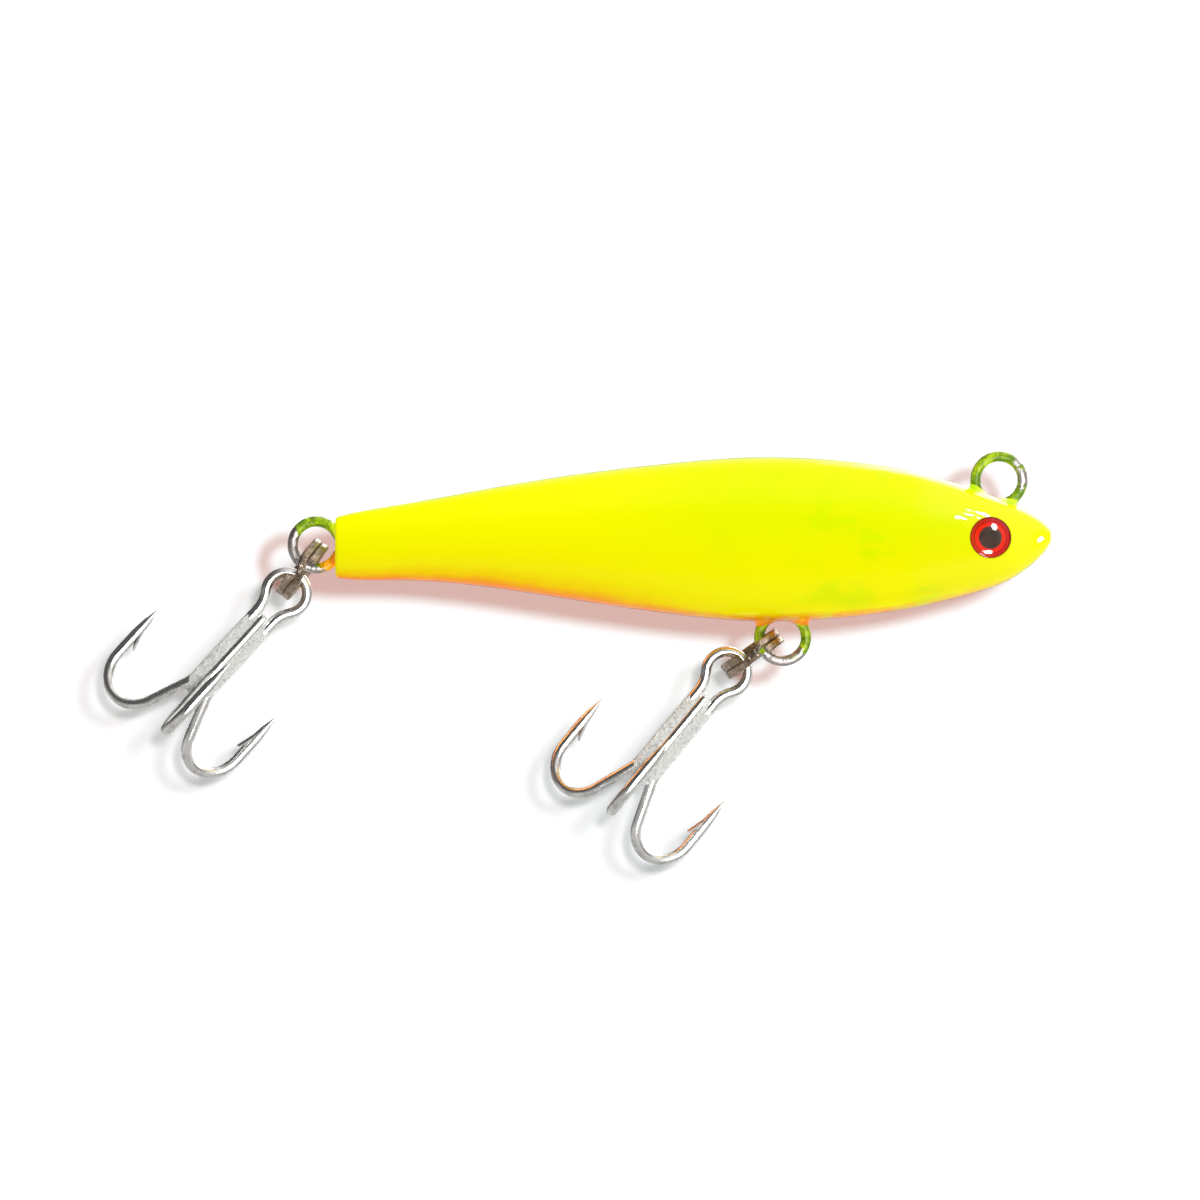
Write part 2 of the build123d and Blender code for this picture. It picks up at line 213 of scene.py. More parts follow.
def body_paint():
    """Fluorescent lacquer in sprayed bands, with greener clouds behind the eye, under a clear coat, and a
    painted glow of its own colour that evens out its shading.
    """
    material, tree = new_material("body_paint")
    place = rest_place(tree)
    x = xyz(tree, place)[0]
    coat = sprayed_bands(tree, place, x)
    nose = smooth(tree, x, -8.0, 5.0)
    coat = mixed(tree, times(tree, nose, 0.7), coat, (0.99, 0.96, 0.0, 1))
    cloud = smooth(tree, noise(tree, place, 0.16, 3.0, 0.6, (1.0, 1.0, 1.4)), 0.50, 0.66)
    behind_eye = times(tree, smooth(tree, x, -34.0, -26.0), smooth(tree, x, -5.0, -10.0))
    coat = mixed(tree, times(tree, cloud, behind_eye, 0.55), coat, (0.68, 0.89, 0.0, 1))
    speck = smooth(tree, noise(tree, place, 2.2, 1.0, 0.5), 0.74, 0.78)
    coat = mixed(tree, times(tree, speck, 0.12), coat, (0.55, 0.75, 0.0, 1))
    # The head is smooth and fully glossy, so that its glints land where they are aimed.
    peel = times(tree, noise(tree, place, 0.55, 1.0, 0.4, (0.5, 1.0, 1.0)), smooth(tree, x, -8.0, -12.0))
    facing_away = node(tree, "ShaderNodeLayerWeight", {"Blend": 0.5}).outputs["Facing"]
    gloss = calc(tree, "MAXIMUM", smooth(tree, facing_away, 0.3, 0.75), smooth(tree, x, -12.0, -8.0))
    principled_surface(
        tree,
        {
            "Base Color": coat,
            "Roughness": 0.5,
            "Specular IOR Level": 0.0,
            "Coat Weight": calc(tree, "MULTIPLY_ADD", gloss, 0.65, 0.35),
            "Coat Roughness": 0.03,
            "Coat IOR": 1.4,
            "Coat Normal": bump(tree, peel, 0.02, 0.3),
            # The paint is fluorescent; this glow in its own colour is painted light that flattens the body's
            # shading.
            "Emission Color": coat,
            "Emission Strength": 0.16,
        },
    )
    return material


def oversprayed_wire(name, centre, bare_towards, bare_share, spray, root_spray, root_towards):
    """Stainless wire with lacquer left on it, except where it is bare round its eye.

    bare_towards and root_towards point from the eye's centre. The wire is bare where its direction from the
    centre follows bare_towards by more than bare_share, and takes the root's lacquer along root_towards.
    """
    material, tree = new_material(name)
    place = rest_place(tree)
    centre_mm = tuple(c / MM for c in centre)
    from_eye = node(tree, "ShaderNodeVectorMath", {0: place, 1: centre_mm}, operation="SUBTRACT").outputs[0]
    outward = node(tree, "ShaderNodeVectorMath", {0: from_eye}, operation="NORMALIZE").outputs[0]
    bare = dot(tree, outward, bare_towards)
    root = dot(tree, outward, root_towards)
    chips = noise(tree, place, 0.85, 3.0, 0.62)
    edge = calc(tree, "MULTIPLY_ADD", calc(tree, "SUBTRACT", chips, 0.5), 2.1, bare)
    painted = smooth(tree, edge, bare_share + 0.05, bare_share - 0.05)
    streak = noise(tree, place, 1.6, 3.0, 0.6)
    metal_tone = ramp(tree, streak, [(0.3, (0.38, 0.34, 0.33)), (0.7, (0.62, 0.58, 0.56))])
    lacquer = mixed(tree, smooth(tree, noise(tree, place, 0.6, 2.0, 0.5), 0.4, 0.65), spray[0], spray[1])
    lacquer = mixed(tree, smooth(tree, root, 0.62, 0.9), lacquer, root_spray)
    metal = principled(
        tree,
        {
            "Base Color": metal_tone,
            "Metallic": 1.0,
            "Roughness": calc(tree, "MULTIPLY_ADD", streak, 0.2, 0.26),
            "Normal": bump(tree, streak, 0.15, 0.05),
        },
    )
    paint = principled(
        tree,
        {
            "Base Color": lacquer,
            "Roughness": 0.35,
            "Specular IOR Level": 0.2,
            "Coat Weight": 0.45,
            "Coat Roughness": 0.06,
            "Normal": bump(tree, calc(tree, "ADD", chips, painted), 0.5, 0.08),
            # Painted glow: the lacquer glows faintly in its own colour, lightening its shade.
            "Emission Color": lacquer,
            "Emission Strength": 0.10,
        },
    )
    surface(tree, node(tree, "ShaderNodeMixShader", {0: painted, 1: metal, 2: paint}).outputs[0])
    return material


def nickel():
    """Split ring: nickel plate with drawing lines, tinted brown as a painted reflection of the warm orange
    body.
    """
    material, tree = new_material("split_ring_nickel")
    place = rest_place(tree)
    grain = noise(tree, place, 1.1, 3.0, 0.6)
    # Brown tones: painted reflection of the orange body on the nickel.
    tone = ramp(tree, grain, [(0.3, (0.22, 0.16, 0.11)), (0.7, (0.52, 0.42, 0.33))])
    principled_surface(
        tree,
        {
            "Base Color": tone,
            "Metallic": 1.0,
            "Roughness": calc(tree, "MULTIPLY_ADD", grain, 0.16, 0.12),
            "Normal": bump(tree, noise(tree, place, 3.5, 2.0, 0.6), 0.12, 0.03),
        },
    )
    return material


def tin(name, tone_low, tone_high, matte):
    """Hook wire: bright tin over forged steel. matte is 0 for smooth wire and 1 for grainy solder."""
    material, tree = new_material(name)
    place = rest_place(tree)
    coarse = noise(tree, place, 0.55, 3.0, 0.62)
    grain = noise(tree, place, 4.5 - 2.6 * matte, 3.0, 0.7)
    patch = smooth(tree, coarse, 0.46 - 0.3 * matte, 0.62 - 0.3 * matte)
    tone = mixed(tree, patch, tone_high, tone_low)
    pits = times(tree, smooth(tree, grain, 0.52, 0.70), 0.25 + 0.4 * matte)
    tone = mixed(tree, pits, tone, (0.25, 0.25, 0.25, 1))
    principled_surface(
        tree,
        {
            "Base Color": tone,
            "Metallic": 1.0 - 0.6 * matte,
            "Roughness": calc(tree, "MULTIPLY_ADD", patch, 0.16, 0.16 + 0.26 * matte),
            "Normal": bump(tree, grain, 0.05 + 0.45 * matte, 0.06),
        },
    )
    return material


def iris(centre):
    """Printed foil: maroon rim, dark hairline, orange-red towards the pupil."""
    material, tree = new_material("eye_foil")
    place = rest_place(tree)
    x, y, z = xyz(tree, place)
    across = calc(tree, "SUBTRACT", x, centre.x / MM)
    up = calc(tree, "SUBTRACT", z, centre.z / MM)
    radius = calc(tree, "SQRT", calc(tree, "ADD", times(tree, across, across), times(tree, up, up)))
    rings = ramp(
        tree,
        calc(tree, "DIVIDE", radius, IRIS_PRINT_RADIUS / MM),
        [
            (0.49, (0.20, 0.005, 0.0)),
            (0.54, (0.90, 0.022, 0.001)),
            (0.68, (0.80, 0.010, 0.0)),
            (0.72, (0.22, 0.003, 0.0)),
            (0.76, (0.62, 0.006, 0.0)),
            (0.87, (0.46, 0.004, 0.0)),
            (0.93, (0.10, 0.002, 0.001)),
        ],
    )
    principled_surface(
        tree,
        {
            "Base Color": rings,
            "Roughness": 0.4,
            "Specular IOR Level": 0.1,
            # Painted glow: the foil glows in its own colours, brighter than its print alone.
            "Emission Color": rings,
            "Emission Strength": 0.25,
            "Normal": bump(tree, noise(tree, place, 3.0, 2.0, 0.5), 0.1, 0.02),
        },
    )
    return material


def pupil():
    """Brown-black printed pupil."""
    material, tree = new_material("eye_pupil")
    mottle = noise(tree, rest_place(tree), 1.0, 2.0, 0.5)
    tone = ramp(tree, mottle, [(0.35, (0.012, 0.005, 0.003)), (0.7, (0.05, 0.02, 0.012))])
    principled_surface(tree, {"Base Color": tone, "Roughness": 0.4})
    return material


def clear_resin():
    """Lens: clear resin that lets light through to the foil."""
    material, tree = new_material("eye_lens")
    haze = noise(tree, rest_place(tree), 1.5, 2.0, 0.5)
    glass = principled(
        tree,
        {
            "Base Color": (1, 1, 1, 1),
            "Transmission Weight": 1.0,
            "IOR": 1.36,
            "Roughness": times(tree, haze, 0.02),
        },
    )
    clear = node(tree, "ShaderNodeBsdfTransparent").outputs[0]
    paths = node(tree, "ShaderNodeLightPath")
    through = calc(tree, "MAXIMUM", paths.outputs["Is Shadow Ray"], paths.outputs["Is Diffuse Ray"])
    surface(tree, node(tree, "ShaderNodeMixShader", {0: through, 1: glass, 2: clear}).outputs[0])
    return material


def lead():
    """Cast ballast: dull grey with a grainy skin."""
    material, tree = new_material("ballast_lead")
    grain = noise(tree, rest_place(tree), 1.8, 4.0, 0.65)
    tone = ramp(tree, grain, [(0.3, (0.10, 0.10, 0.11)), (0.7, (0.24, 0.24, 0.25))])
    rough_skin = bump(tree, grain, 0.5, 0.1)
    principled_surface(tree, {"Base Color": tone, "Metallic": 0.8, "Roughness": 0.6, "Normal": rough_skin})
    return material


def ball_steel():
    """Polished rattle ball with fine scuffs."""
    material, tree = new_material("rattle_steel")
    scuff = noise(tree, rest_place(tree), 2.5, 3.0, 0.6, (1.0, 0.3, 1.0))
    principled_surface(
        tree,
        {
            "Base Color": ramp(tree, scuff, [(0.3, (0.42, 0.42, 0.43)), (0.7, (0.62, 0.62, 0.62))]),
            "Metallic": 1.0,
            "Roughness": calc(tree, "MULTIPLY_ADD", scuff, 0.15, 0.05),
        },
    )
    return material


def collar_paint(name, low, high):
    """Thick lacquer gathered round a wire where it enters the body."""
    material, tree = new_material(name)
    drift = noise(tree, rest_place(tree), 0.9, 2.0, 0.5)
    coat = mixed(tree, smooth(tree, drift, 0.38, 0.62), low, high)
    principled_surface(
        tree,
        {
            "Base Color": coat,
            "Roughness": 0.4,
            "Specular IOR Level": 0.1,
            "Coat Weight": 1.0,
            "Coat Roughness": 0.05,
            "Coat Normal": bump(tree, drift, 0.3, 0.3),
            # Painted glow: the thick lacquer glows in its own colour, lightening its shade.
            "Emission Color": coat,
            "Emission Strength": 0.3,
        },
    )
    return material


def cad(*names):
    """CAD nodes with these names."""
    return [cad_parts[name] for name in names]


def dress(material, *names):
    """Gives CAD nodes one material."""
    for part in cad(*names):
        for each in part.material_slots:
            each.material = material


def hanger_eye(name, outward):
    """Centre of a hanger wire's eye, found from its box and the way it points."""
    low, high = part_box(name)
    if outward == "up":
        return Vector((high.x - EYE_OUTER_RADIUS, 0, high.z - EYE_OUTER_RADIUS))
    if outward == "down":
        return Vector(((low.x + high.x) / 2, 0, low.z + EYE_OUTER_RADIUS))
    return Vector((low.x + EYE_OUTER_RADIUS, 0, (low.z + high.z) / 2))


OLIVE = (0.10, 0.20, 0.0, 1)
LIME = (0.36, 0.50, 0.0, 1)
ORANGE = (1.0, 0.38, 0.0, 1)

line_tie_eye = hanger_eye("line_tie", "up")
belly_eye = hanger_eye("belly_hanger", "down")
tail_eye = hanger_eye("tail_hanger", "tail")

SHELLS = ("body_right", "body_left")
HANGERS = ("line_tie", "belly_hanger", "tail_hanger")
SPLIT_RINGS = ("belly_split_ring", "tail_split_ring")
BELLY_HOOKS = ("belly_hook_double", "belly_hook_single")
TAIL_HOOKS = ("tail_hook_double", "tail_hook_single")
EYE_LENSES = ("eye_lens_right", "eye_lens_left")

dress(body_paint(), *SHELLS)
dress(
    oversprayed_wire(
        "line_tie_wire", line_tie_eye, (0.98, 0, 0.17), 0.80, (OLIVE, LIME), LIME, (-0.33, 0, -0.94)
    ),
    "line_tie",
)
dress(
    oversprayed_wire("belly_hanger_wire", belly_eye, (0.1, 0, -0.99), 0.62, (LIME, OLIVE), ORANGE, (0, 0, 1)),
    "belly_hanger",
)
dress(
    oversprayed_wire(
        "tail_hanger_wire", tail_eye, (-0.85, 0, -0.53), 0.30, (OLIVE, LIME), ORANGE, (0.8, 0, -0.6)
    ),
    "tail_hanger",
)
dress(nickel(), *SPLIT_RINGS)
dress(tin("hook_tin", (0.66, 0.66, 0.65, 1), (0.90, 0.90, 0.89, 1), 0.0), *BELLY_HOOKS, *TAIL_HOOKS)
braze_metal = tin("hook_braze", (0.70, 0.70, 0.67, 1), (0.92, 0.92, 0.89, 1), 1.0)
lens_low, lens_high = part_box("eye_lens_right")
eye_centre = (lens_low + lens_high) / 2
dress(iris(eye_centre), "eye_foil_left", "eye_foil_right")
dress(pupil(), "eye_pupil_left", "eye_pupil_right")
dress(clear_resin(), *EYE_LENSES)
dress(lead(), "front_ballast", "rear_ballast")
dress(ball_steel(), "rattle_ball_front", "rattle_ball_middle", "rattle_ball_rear")


# --- Added pieces ---


def mesh_piece(name, vertices, faces, material, body):
    """Smooth mesh object that rides on a body."""
    mesh = bpy.data.meshes.new(name)
    mesh.from_pydata(vertices, [], faces)
    mesh.polygons.foreach_set("use_smooth", [True] * len(mesh.polygons))
    mesh.materials.append(material)
    mesh.validate()
    mesh.update()
    piece = bpy.data.objects.new(name, mesh)
    scene.collection.objects.link(piece)
    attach(piece, body)
    return piece


def ring_faces(rings, around, closed):
    """Quads between rings of points, joined end to end when closed, or capped."""
    faces = []
    for i in range(rings if closed else rings - 1):
        for j in range(around):
            k = (j + 1) % around
            n = (i + 1) % rings
            faces.append((i * around + j, i * around + k, n * around + k, n * around + j))
    if not closed:
        faces.append(tuple(reversed(range(around))))
        faces.append(tuple((rings - 1) * around + j for j in range(around)))
    return faces


def body_skin():
    """Search tree over the body's outside, without the holes for the wires."""
    outside = bmesh.new()
    for shell in cad("body_left", "body_right"):
        for vertex in shell.data.vertices:
            outside.verts.new(vertex.co)
    bmesh.ops.convex_hull(outside, input=outside.verts)
    loose = [v for v in outside.verts if not v.link_faces]
    bmesh.ops.delete(outside, geom=loose, context="VERTS")
    bmesh.ops.recalc_face_normals(outside, faces=outside.faces)
    return BVHTree.FromBMesh(outside)


def wire_entry(skin, eye, outward, side):
    """Where a hanger's eye meets the body on one side: surface point, surface normal, wire's way outwards."""
    across = Vector((outward.z, 0, -outward.x)) * side
    for degrees_round in range(80, 170):
        angle = radians(degrees_round)
        place = eye + EYE_LOOP_RADIUS * (cos(angle) * outward + sin(angle) * across)
        near, normal = skin.find_nearest(place)[:2]
        if (place - near).dot(normal) < 0:
            along = sin(angle) * outward - cos(angle) * across
            return near, normal, along.normalized()
    raise ValueError("the hanger's eye stays outside the body")


def paint_collar(name, skin, eye, outward, side, material, flare=0.95 * MM, rise=0.62 * MM):
    """Flared fillet of lacquer round a wire at the body's surface."""
    place, normal, along = wire_entry(skin, eye, outward, side)
    least_cosine = 0.3
    lean = along / max(along.dot(normal), least_cosine) - normal
    first = normal.orthogonal().normalized()
    second = normal.cross(first)
    around, slope_steps, slope_power = 36, 9, 2.4
    sunk, skin_gap, wire_gap = -0.35 * MM, 0.015 * MM, 0.03 * MM
    profile = [(WIRE_RADIUS - 0.2 * MM, sunk), (WIRE_RADIUS - 0.1 * MM, rise)]
    for i in range(slope_steps + 1):
        share = i / slope_steps
        height = rise * (1 - share) ** slope_power + skin_gap
        profile.append((WIRE_RADIUS + wire_gap + flare * share, height))
    profile.append((WIRE_RADIUS + flare, sunk))
    vertices = []
    for reach, height in profile:
        for j in range(around):
            angle = 2 * pi * j / around
            wave = 1 + 0.12 * sin(2 * angle + side) + 0.06 * sin(5 * angle)
            spread = reach if reach < WIRE_RADIUS else WIRE_RADIUS + (reach - WIRE_RADIUS) * wave
            radial = cos(angle) * first + sin(angle) * second
            foot = skin.find_nearest(place + radial * spread)[0]
            vertices.append(foot + normal * height + lean * max(height, 0))
    faces = ring_faces(len(profile), around, closed=True)
    return mesh_piece(name, vertices, faces, material, "lure_body")


skin = body_skin()
lime_collar = collar_paint("collar_lime", (0.46, 0.74, 0.0, 1), (0.72, 0.84, 0.0, 1))
orange_collar = collar_paint("collar_orange", (1.0, 0.26, 0.0, 1), (1.0, 0.48, 0.0, 1))
line_tie_lean = radians(19.0)
line_tie_up = Vector((sin(line_tie_lean), 0, cos(line_tie_lean)))
belly_down = Vector((0, 0, -1))
tail_back = Vector((-1, 0, 0))
tail_size = (0.7 * MM, 0.5 * MM)
paint_collar("line_tie_collar_front", skin, line_tie_eye, line_tie_up, 1, lime_collar)
paint_collar("line_tie_collar_rear", skin, line_tie_eye, line_tie_up, -1, lime_collar)
paint_collar("belly_collar_front", skin, belly_eye, belly_down, 1, orange_collar)
paint_collar("belly_collar_rear", skin, belly_eye, belly_down, -1, orange_collar)
paint_collar("tail_collar_upper", skin, tail_eye, tail_back, 1, lime_collar, *tail_size)
paint_collar("tail_collar_lower", skin, tail_eye, tail_back, -1, orange_collar, *tail_size)


def hook_frame(name, drop, twist):
    """Placement of a treble: origin at its eye, z along the shank, -y towards the third hook."""
    down = Vector((-cos(drop), 0, -sin(drop)))
    flat = Vector((-sin(drop), 0, cos(drop)))
    across = cos(twist) * flat + sin(twist) * Vector((0, 1, 0))
    back = down.cross(across)
    points = [v.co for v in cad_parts[name].data.vertices]
    spread = [p.dot(across) for p in points]
    depth = [p.dot(back) for p in points]
    reach = [p.dot(down) for p in points]
    origin = across * (min(spread) + max(spread)) / 2
    origin += back * (min(depth) + HOOK_WIRE_RADIUS)
    origin += down * (min(reach) + HOOK_EYE_RADIUS + HOOK_WIRE_RADIUS)
    placed = Matrix((across, back, down)).transposed().to_4x4()
    placed.translation = origin
    return placed


def rounded(value, power):
    """Sign-keeping power, which squares off a circle's sine or cosine."""
    return abs(value) ** power * (1 if value > 0 else -1)


def braze_web(name, placed, body):
    """Brazed bar that joins the legs of a treble: two grainy flats beside the third hook's leg."""
    stations, around = 60, 40
    first, head_length, taper_start, last = 4.0, 2.2, 15.1, 17.7
    half_width, half_depth = 1.97, 0.69
    tip_half_width, tip_half_depth = 0.55, 0.15
    vertices = []
    for i in range(stations):
        share = i / (stations - 1)
        along = first + (last - first) * share
        head = min(1.0, (along - first) / head_length)
        foot = min(1.0, (last - along) / (last - taper_start))
        fullness = sqrt(max(0.0, 1 - (1 - min(head, foot)) ** 2))
        width = tip_half_width + (half_width - tip_half_width) * fullness
        depth = tip_half_depth + (half_depth - tip_half_depth) * fullness
        for j in range(around):
            angle = 2 * pi * j / around
            across = width * rounded(cos(angle), 0.35)
            back = depth * rounded(sin(angle), 0.45)
            hammer = 1 + 0.012 * sin(5.3 * along + 3 * angle) + 0.010 * sin(13.7 * along - 5 * angle)
            vertices.append(placed @ (Vector((across * hammer, back * hammer, along)) * MM))
    faces = ring_faces(stations, around, closed=False)
    return mesh_piece(name, vertices, faces, braze_metal, body)


belly_treble = hook_frame("belly_hook_double", radians(50.4), radians(1.9))
tail_treble = hook_frame("tail_hook_double", radians(47.4), radians(-6.0))
belly_braze = braze_web("belly_hook_braze", belly_treble, "belly_hook")
tail_braze = braze_web("tail_hook_braze", tail_treble, "tail_hook")


# --- Stage: backdrop, lights, camera ---

CAMERA_LENS = 200.0
CAMERA_SENSOR = 36.0
camera_distance = FRAME_WIDTH / CAMERA_SENSOR * CAMERA_LENS
camera_place = FRAME_CENTRE + Vector((0, -camera_distance, 0))
BACKDROP_DEPTH = 32 * MM
BACKDROP_WIDTH = 1.2


def group(name, objects):
    """Collection that a light's linking refers to."""
    made = bpy.data.collections.new(name)
    for each in objects:
        made.objects.link(each)
    return made


def light(name, kind, place, target, power, colour=(1, 1, 1), receivers=None, **settings):
    """Light at a place that points at a target and, when receivers are given, lights only those."""
    data = bpy.data.lights.new(name, kind)
    data.energy = power
    data.color = colour
    for key, value in settings.items():
        setattr(data, key, value)
    made = bpy.data.objects.new(name, data)
    scene.collection.objects.link(made)
    made.location = place
    made.rotation_mode = "QUATERNION"
    made.rotation_quaternion = (Vector(target) - Vector(place)).to_track_quat("-Z", "Y")
    if receivers is not None:
        made.light_linking.receiver_collection = receivers
    return made


def backdrop():
    """Plain pale sheet behind the lure, seen from its front only."""
    material, tree = new_material("backdrop")
    # Painted light: the sheet's dark warm colour shows wherever the blue-green lamps are blocked, giving its
    # shadows a warm bounce tint.
    diffuse = node(tree, "ShaderNodeBsdfDiffuse", {"Color": (0.25, 0.09, 0.06, 1)}).outputs[0]
    ends = {0: rest_place(tree), 1: tuple(FRAME_CENTRE / MM)}
    from_centre = node(tree, "ShaderNodeVectorMath", ends, operation="DISTANCE").outputs["Value"]
    # Near the middle the sheet glows faintly orange, a painted bounce light from the belly that warms its
    # shadows. The far part glows white, so that the sheet's edge melts into the white world in every view.
    outside = smooth(tree, from_centre, 120.0, 210.0)
    glow = mixed(tree, outside, (0.11, 0.03, 0.02, 1), (1, 1, 1, 1))
    bounce_and_edge_glow = node(tree, "ShaderNodeEmission", {"Color": glow, "Strength": 1.0}).outputs[0]
    front = node(tree, "ShaderNodeAddShader", {0: diffuse, 1: bounce_and_edge_glow}).outputs[0]
    clear = node(tree, "ShaderNodeBsdfTransparent").outputs[0]
    behind = node(tree, "ShaderNodeNewGeometry").outputs["Backfacing"]
    surface(tree, node(tree, "ShaderNodeMixShader", {0: behind, 1: front, 2: clear}).outputs[0])
    half = BACKDROP_WIDTH / 2
    centre = FRAME_CENTRE + Vector((0, BACKDROP_DEPTH, 0))
    corners = [centre + Vector((half * i, 0, half * j)) for i, j in ((-1, -1), (1, -1), (1, 1), (-1, 1))]
    mesh = bpy.data.meshes.new("backdrop")
    mesh.from_pydata(corners, [], [(0, 1, 2, 3)])
    mesh.materials.append(material)
    made = bpy.data.objects.new("backdrop", mesh)
    scene.collection.objects.link(made)
    made.visible_glossy = False
    return made


def studio_world():
    """White to the camera, an even light for matt surfaces, and a room with dark parts for shiny ones."""
    world = bpy.data.worlds.new("studio")
    scene.world = world
    world.use_nodes = True
    tree = world.node_tree
    tree.nodes.clear()
    x, y, z = xyz(tree, node(tree, "ShaderNodeTexCoord").outputs["Generated"])
    room = calc(tree, "MULTIPLY_ADD", smooth(tree, z, -0.9, 0.6), 0.45, 0.5)
    upper_left = times(tree, smooth(tree, x, 0.15, -0.45), smooth(tree, z, -0.5, 0.3))
    camera_side = smooth(tree, y, -0.72, -0.95)
    far_side = smooth(tree, y, 0.90, 0.99)
    nose_side = smooth(tree, x, 0.90, 0.97)
    for dark_part, share in ((upper_left, 0.9), (camera_side, 0.85), (far_side, 0.7), (nose_side, 0.65)):
        room = dimmed(tree, room, dark_part, share)
    window_sides = times(tree, smooth(tree, x, 0.06, 0.16), smooth(tree, z, 0.15, 0.35))
    sheen_window = times(tree, window_sides, smooth(tree, y, 0.45, 0.6))
    table_glow = times(tree, smooth(tree, z, -0.12, -0.3), smooth(tree, y, 0.55, 0.75))
    room = calc(tree, "ADD", room, times(tree, sheen_window, 3.2))
    room = calc(tree, "ADD", room, times(tree, table_glow, 0.1))
    shiny = node(tree, "ShaderNodeBackground", {0: (1.0, 0.98, 0.95, 1), 1: room}).outputs[0]
    even = node(tree, "ShaderNodeBackground", {0: (1, 1, 1, 1), 1: 0.68}).outputs[0]
    white = node(tree, "ShaderNodeBackground", {0: (1, 1, 1, 1), 1: 1.0}).outputs[0]
    paths = node(tree, "ShaderNodeLightPath")
    lit = node(tree, "ShaderNodeMixShader", {0: paths.outputs["Is Glossy Ray"], 1: even, 2: shiny}).outputs[0]
    seen = node(tree, "ShaderNodeMixShader", {0: paths.outputs["Is Camera Ray"], 1: lit, 2: white}).outputs[0]
    node(tree, "ShaderNodeOutputWorld", {"Surface": seen})


def towards(x, y, z, distance):
    """Place at this distance from the frame's centre in the given direction."""
    return FRAME_CENTRE + Vector((x, y, z)).normalized() * distance


sheet = backdrop()
studio_world()
belly_treble_parts = cad(*BELLY_HOOKS) + [belly_braze]
tail_treble_parts = cad(*TAIL_HOOKS) + [tail_braze]
ring_parts = cad(*SPLIT_RINGS)
hanger_parts = cad(*HANGERS)
shell_parts = cad(*SHELLS)
floor_group = group("floor_light", [sheet])
metal_group = group("metal_light", belly_treble_parts + tail_treble_parts + hanger_parts)
ring_group = group("ring_light", ring_parts)
copper_group = group("copper_light", belly_treble_parts)
shell_group = group("shell_light", shell_parts)
lens_group = group("lens_light", cad(*EYE_LENSES))
loose_group = group("loose_shadows", belly_treble_parts + tail_treble_parts + ring_parts)
rigid_group = group("rigid_shadows", shell_parts + hanger_parts)

# Three lamps beside the camera light the sheet to just over white. Only trebles and rings block the near one,
# only the body and its hangers block the body one, and everything blocks the wide one. That makes the body's
# shadow warm and the hooks' shadows neutral.
near_place = camera_place + Vector((0.031, 0, 0.034))
wide_place = camera_place + Vector((0.100, 0, 0.062))
for name, place, watts, colour, softness, blockers in (
    ("shadow_near", near_place, 175.0, (0.246, 0.665, 1.0), 0.014, loose_group),
    ("shadow_wide", wide_place, 110.0, (0.24, 0.667, 1.0), 0.028, None),
    ("shadow_body", wide_place, 225.0, (0.103, 0.618, 1.0), 0.028, rigid_group),
):
    lamp = light(name, "POINT", place, FRAME_CENTRE, watts, colour, floor_group, shadow_soft_size=softness)
    if blockers:
        lamp.light_linking.blocker_collection = blockers

WHITE = (1, 1, 1)
soft_box = {"shape": "RECTANGLE", "size": 0.5, "size_y": 0.5}
light("metal_front", "AREA", towards(0.35, -1, -0.25, 0.6), FRAME_CENTRE, 4.5, WHITE, metal_group, **soft_box)
spot = {"shape": "ELLIPSE", "size": 0.05, "size_y": 0.05}
spark_tone = (1.0, 0.95, 0.9)
light("ring_spark", "AREA", towards(0.05, -1, -0.1, 0.6), FRAME_CENTRE, 0.3, spark_tone, ring_group, **spot)
strip = {"shape": "RECTANGLE", "size": 0.15, "size_y": 0.3}
rim_tone = (1.0, 0.92, 0.84)
light("ring_rim", "AREA", towards(0.8, -0.6, 0.5, 0.6), FRAME_CENTRE, 0.35, rim_tone, ring_group, **strip)
belly_treble_place = Vector((-45, 0, -38)) * MM
copper_place = belly_treble_place + Vector((-0.075, 0.03, 0.075))
copper_tone = (1.0, 0.32, 0.08)
panel = {"shape": "RECTANGLE", "size": 0.06, "size_y": 0.06}
light("belly_copper", "AREA", copper_place, belly_treble_place, 0.03, copper_tone, copper_group, **panel)
key_box = {"shape": "RECTANGLE", "size": 0.3, "size_y": 0.3}
key = light("key", "AREA", towards(0.5, -0.8, 0.9, 0.7), FRAME_CENTRE, 1.6, WHITE, **key_box)
key.visible_glossy = False


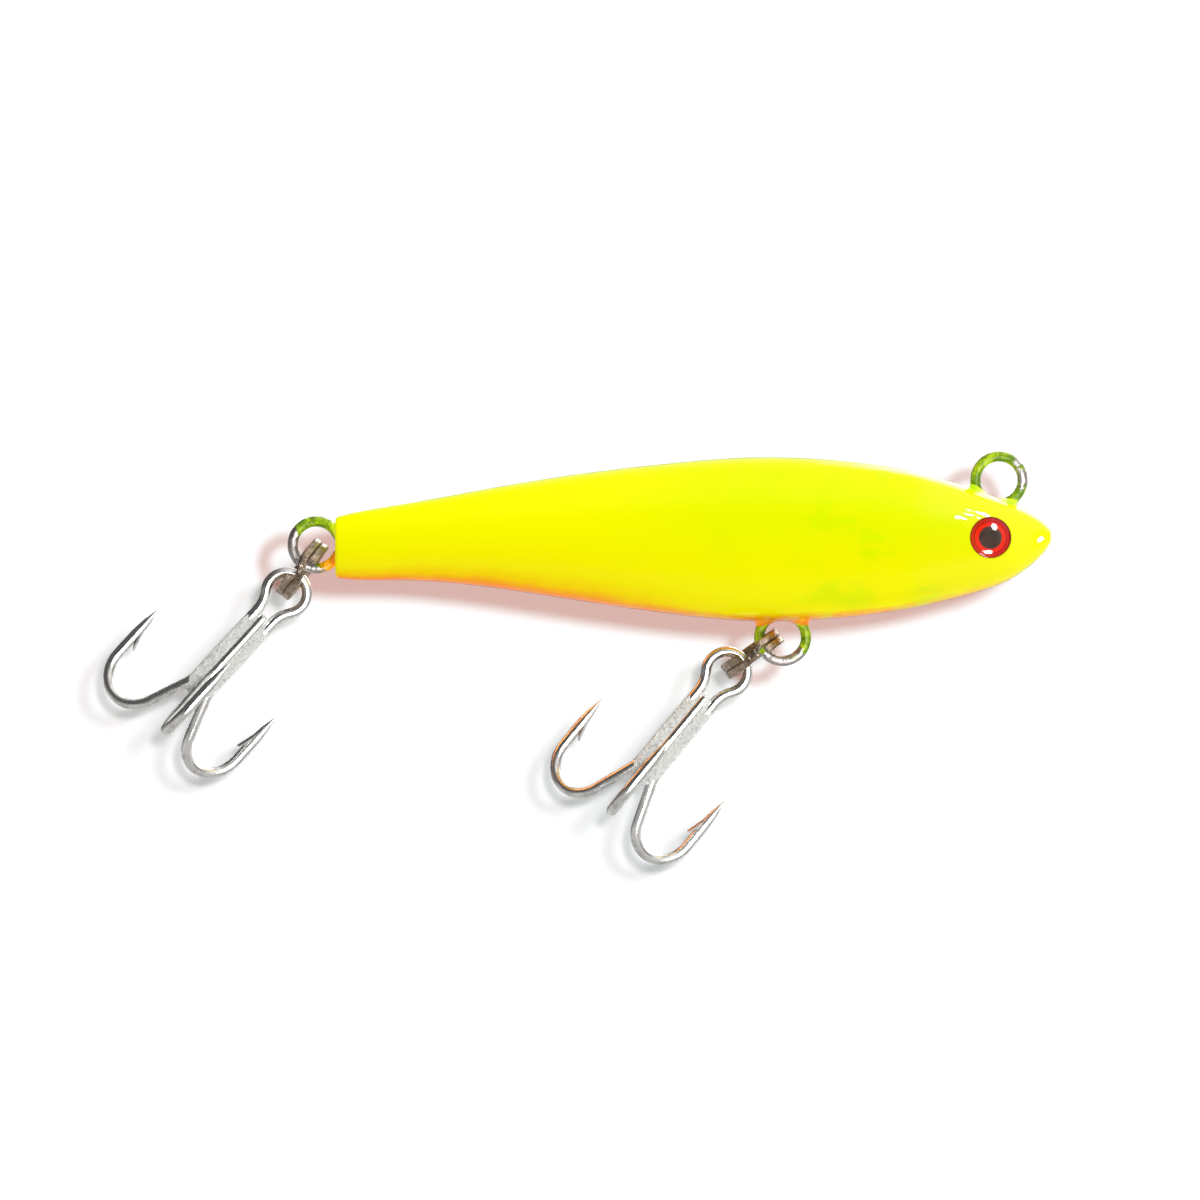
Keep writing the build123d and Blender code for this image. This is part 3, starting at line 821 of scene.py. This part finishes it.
def glint(name, place, normal, receivers, width, height, radiance):
    """Small lamp whose reflection at this point reaches the camera. Width and height are half angles."""
    distance = 0.25
    incoming = (place - camera_place).normalized()
    bounced = incoming - 2 * incoming.dot(normal) * normal
    size_x = 2 * distance * tan(radians(width))
    size_y = 2 * distance * tan(radians(height))
    disc = {"shape": "ELLIPSE", "size": size_x, "size_y": size_y}
    power = radiance * pi * size_x * size_y
    made = light(name, "AREA", place + bounced * distance, place, power, WHITE, receivers, **disc)
    made.visible_diffuse = False


def seen_point(x, z):
    """Point of the body that the camera sees at this x and z, and its smooth normal."""
    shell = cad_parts["body_right"]
    in_front, smallest = -0.1, 0.001 * MM
    cast = shell.ray_cast(Vector((x, in_front, z)), Vector((0, 1, 0)))
    place, face = cast[1], cast[3]
    mesh = shell.data
    total = Vector()
    for corner in mesh.polygons[face].loop_indices:
        vertex = mesh.vertices[mesh.loops[corner].vertex_index]
        total += mesh.corner_normals[corner].vector / max((vertex.co - place).length, smallest)
    return place, total.normalized()


# A glint in the eye has its place in millimetres from the eye's centre, and one on the body has its place on
# the lure. The last two values are the lamp's half width and half height in degrees.
EYE_GLINT_RADIANCE = 70.0
for name, dx, dz, width, height in (
    ("eye_glint", 0.45, 1.32, 9.0, 13.0),
    ("eye_glow", -0.42, -1.86, 19.0, 8.0),
):
    offset = Vector((dx, 0, dz)) * MM
    normal = offset / EYE_DOME_RADIUS
    normal.y = -sqrt(1 - normal.length_squared)
    glint(name, eye_centre + offset, normal, lens_group, width, height, EYE_GLINT_RADIANCE)
BODY_GLINT_RADIANCE = 90.0
for name, x, z, width, height in (
    ("nose_glint", 5.1, -7.6, 5.5, 5.5),
    ("brow_glint_rear", -5.05, -4.7, 0.9, 1.5),
    ("brow_glint_middle", -3.6, -4.55, 0.6, 1.5),
    ("brow_glint_front", -1.9, -4.5, 3.2, 1.5),
):
    place, normal = seen_point(x * MM, z * MM)
    glint(name, place, normal, shell_group, width, height, BODY_GLINT_RADIANCE)

camera_data = bpy.data.cameras.new("camera")
camera_data.lens = CAMERA_LENS
camera_data.sensor_width = CAMERA_SENSOR
camera_data.clip_start = 0.05
camera_data.clip_end = 10.0
camera = bpy.data.objects.new("camera", camera_data)
scene.collection.objects.link(camera)
camera.location = camera_place
camera.rotation_euler = (pi / 2, 0, 0)
scene.camera = camera

scene.view_settings.view_transform = "Standard"
scene.view_settings.look = "None"
